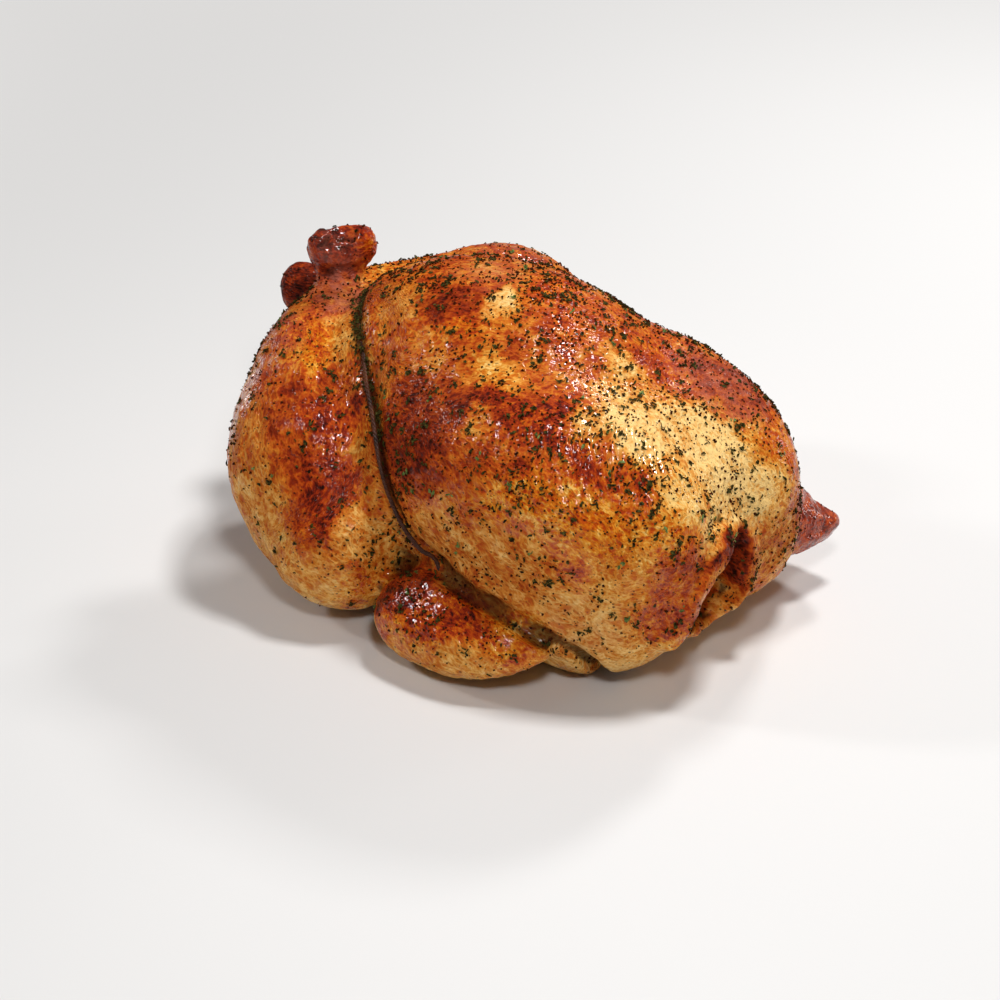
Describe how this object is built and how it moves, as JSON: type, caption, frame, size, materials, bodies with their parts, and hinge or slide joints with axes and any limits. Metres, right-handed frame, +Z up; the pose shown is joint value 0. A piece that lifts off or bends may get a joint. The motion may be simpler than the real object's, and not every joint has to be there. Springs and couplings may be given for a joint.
{
  "type": "roast chicken",
  "caption": "Whole roast chicken lying on its back, legs crossed at the ankles and wings folded, held by a browned trussing string.",
  "frame": {"origin": "under the middle of the bird's box, on the surface that it rests on", "axes": "+X from the tail to the neck end, +Z up through the breast, -Y out of the bird's left side"},
  "size_m": [0.2302, 0.1828, 0.1282],
  "materials": {
    "roast_skin": "glossy, unevenly browned, herb-flecked",
    "browned_string": "dark, soaked in juices"
  },
  "bodies": {
    "root": {"chicken": "roast_skin", "truss_string": "browned_string"}
  },
  "joints": []
}
